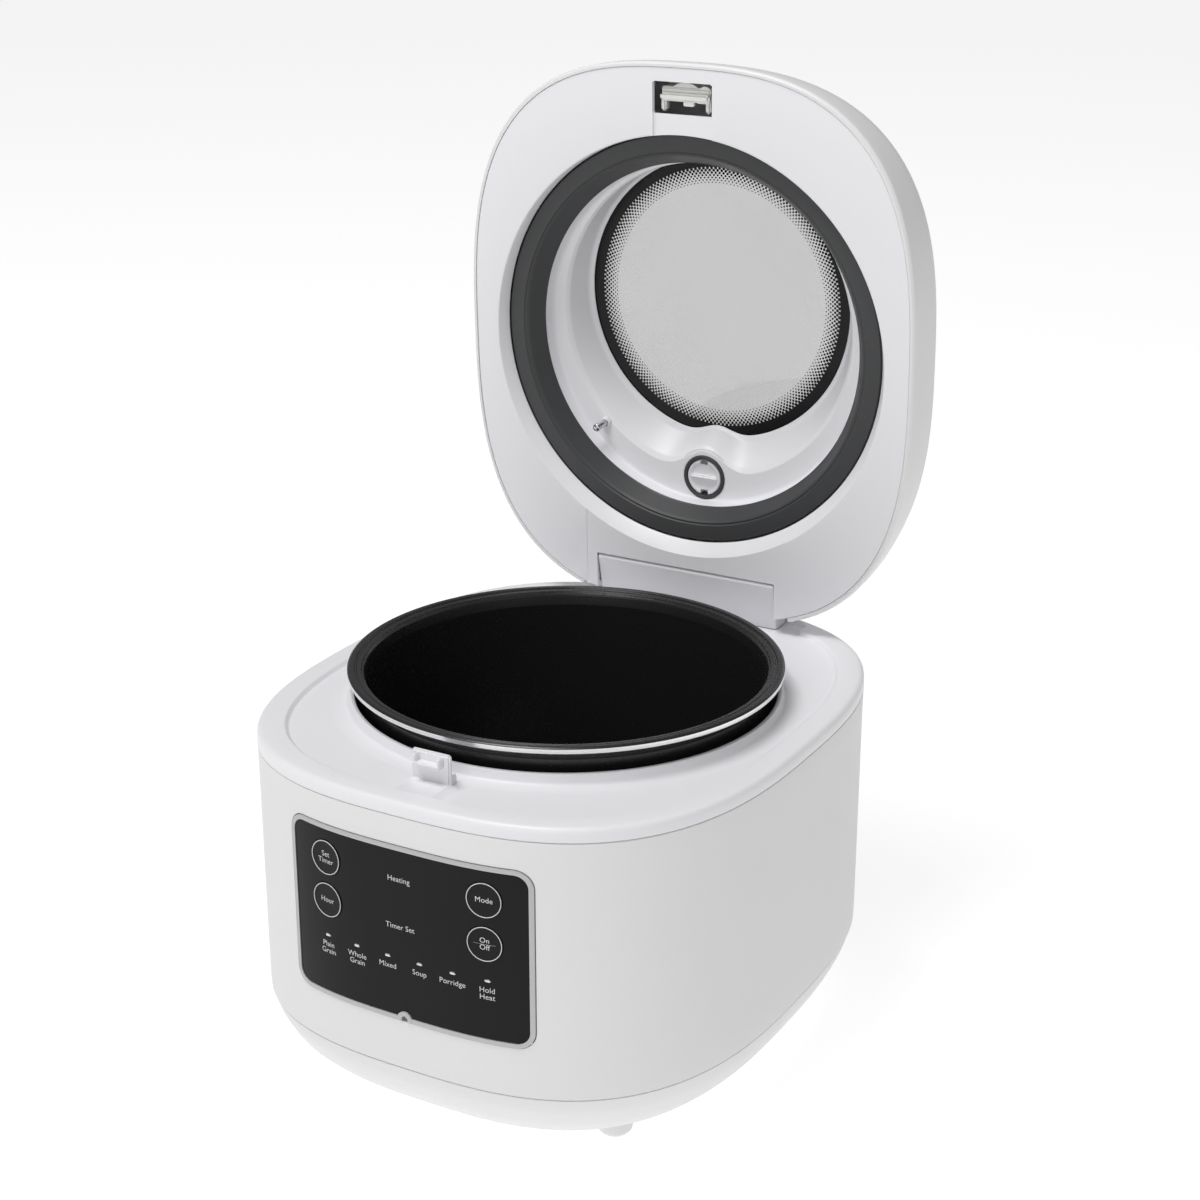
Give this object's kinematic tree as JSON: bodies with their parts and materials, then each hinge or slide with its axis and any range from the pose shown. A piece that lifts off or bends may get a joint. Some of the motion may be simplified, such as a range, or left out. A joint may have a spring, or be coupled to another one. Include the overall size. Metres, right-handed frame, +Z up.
{
  "type": "rice cooker",
  "caption": "Countertop rice cooker with a sprung hinged lid, lift-out coated pot, latch and release button, round viewing window, steam valve and a black control panel.",
  "frame": {"origin": "centre of the bounding box's base, on the surface the feet stand on, lid open as stored", "axes": "+Z up, the front with the control panel faces -Y, +X is the cooker's right as seen from the front"},
  "size_m": [0.2686, 0.3287, 0.4799],
  "materials": {
    "white_satin": "injection-moulded white ABS, satin",
    "white_gloss": "injection-moulded white PP, smooth",
    "black_panel": "black tinted polycarbonate, high gloss",
    "silver_trim": "silver paint on plastic, satin",
    "pot_coating": "die-cast aluminium with a dark non-stick coating",
    "grey_rubber": "silicone, matte grey",
    "window_glass": "toughened glass, printed border",
    "bright_steel": "stainless or zinc-plated steel",
    "cast_aluminium": "cast aluminium, machined face",
    "circuit_board": "glass-epoxy laminate, green resist",
    "clear_lens": "translucent polycarbonate",
    "dark_plastic": "dark nylon, fine texture"
  },
  "bodies": {
    "housing": {"body_shell": "white_satin", "top_deck": "white_gloss", "base_tray": "white_satin", "foot_front_left": "white_satin", "foot_front_right": "white_satin", "foot_rear_left": "white_satin", "foot_rear_right": "white_satin", "foot_screw_front_left": "bright_steel", "foot_screw_front_right": "bright_steel", "foot_screw_rear_left": "bright_steel", "foot_screw_rear_right": "bright_steel", "control_bezel": "silver_trim", "control_panel": "black_panel", "indicator_light_guide": "clear_lens", "control_board": "circuit_board", "display_module": "dark_plastic", "power_board": "circuit_board", "power_relay": "dark_plastic", "transformer": "dark_plastic", "power_inlet": "dark_plastic", "heat_shield": "bright_steel", "heater_plate": "cast_aluminium", "thermal_fuse": "bright_steel", "hinge_block": "white_gloss", "hinge_pin": "bright_steel", "hinge_spring": "bright_steel"},
    "sensor": {"bottom_sensor": "cast_aluminium", "sensor_spring": "bright_steel"},
    "pot": {"inner_pot": "pot_coating"},
    "lid": {"lid_inner_panel": "white_gloss", "lid_outer_shell": "white_satin", "lid_liner": "white_gloss", "lid_gasket": "grey_rubber", "lid_probe": "bright_steel", "window_glass_inner": "window_glass", "window_glass_outer": "window_glass", "valve_seal": "grey_rubber", "steam_duct": "white_satin", "latch_pin": "bright_steel"},
    "valve": {"steam_valve": "white_gloss"},
    "cap": {"steam_cap": "white_satin"},
    "latch": {"lid_latch": "white_gloss", "latch_spring": "bright_steel"},
    "release": {"release_button": "white_satin"},
    "button_lower_left": {"button_lower_left": "black_panel"},
    "button_lower_right": {"button_lower_right": "black_panel"},
    "button_upper_left": {"button_upper_left": "black_panel"},
    "button_upper_right": {"button_upper_right": "black_panel"}
  },
  "joints": [
    {"name": "lid_hinge", "type": "hinge", "parent": "housing", "child": "lid", "pos_m": [0, 0.1258, 0.1938], "axis": [1, 0, 0], "range_deg": [0, 88], "deforming": ["lid_gasket", "hinge_spring"]},
    {"name": "sensor_travel", "type": "slide", "parent": "housing", "child": "sensor", "axis": [0, 0, 1], "range_m": [-0.0085, 0], "stiffness_N_per_m": 1200, "springref_m": 0.009, "deforming": ["sensor_spring"]},
    {"name": "pot_lift", "type": "slide", "parent": "sensor", "child": "pot", "axis": [0, 0, -1], "range_m": [-0.16, 0]},
    {"name": "valve_twist", "type": "hinge", "parent": "lid", "child": "valve", "pos_m": [0, 0.13794, 0.25296], "axis": [0, 0.9994, 0.0349], "range_deg": [0, 60]},
    {"name": "cap_pull", "type": "slide", "parent": "lid", "child": "cap", "axis": [0, 0.9994, 0.0349], "range_m": [0, 0.03]},
    {"name": "release_press", "type": "slide", "parent": "lid", "child": "release", "axis": [0, 0.0349, -0.9994], "range_m": [0, 0.0035], "stiffness_N_per_m": 600, "springref_m": -0.001},
    {"name": "latch_swing", "type": "hinge", "parent": "lid", "child": "latch", "pos_m": [0, 0.12099, 0.4661], "axis": [1, 0, 0], "range_deg": [-23, 0], "stiffness_Nm_per_rad": 0.02, "springref_deg": 17.19, "deforming": ["latch_spring"]},
    {"name": "button_lower_left_press", "type": "slide", "parent": "housing", "child": "button_lower_left", "axis": [0.1488, 0.9889, 0], "range_m": [0, 0.0008], "stiffness_N_per_m": 700, "springref_m": -0.0006},
    {"name": "button_lower_right_press", "type": "slide", "parent": "housing", "child": "button_lower_right", "axis": [-0.1488, 0.9889, 0], "range_m": [0, 0.0008], "stiffness_N_per_m": 700, "springref_m": -0.0006},
    {"name": "button_upper_left_press", "type": "slide", "parent": "housing", "child": "button_upper_left", "axis": [0.1488, 0.9889, 0], "range_m": [0, 0.0008], "stiffness_N_per_m": 700, "springref_m": -0.0006},
    {"name": "button_upper_right_press", "type": "slide", "parent": "housing", "child": "button_upper_right", "axis": [-0.1488, 0.9889, 0], "range_m": [0, 0.0008], "stiffness_N_per_m": 700, "springref_m": -0.0006}
  ],
  "couplings": [
    {"joint": "latch_swing", "follows": "release_press", "rad_per_m": -111}
  ]
}
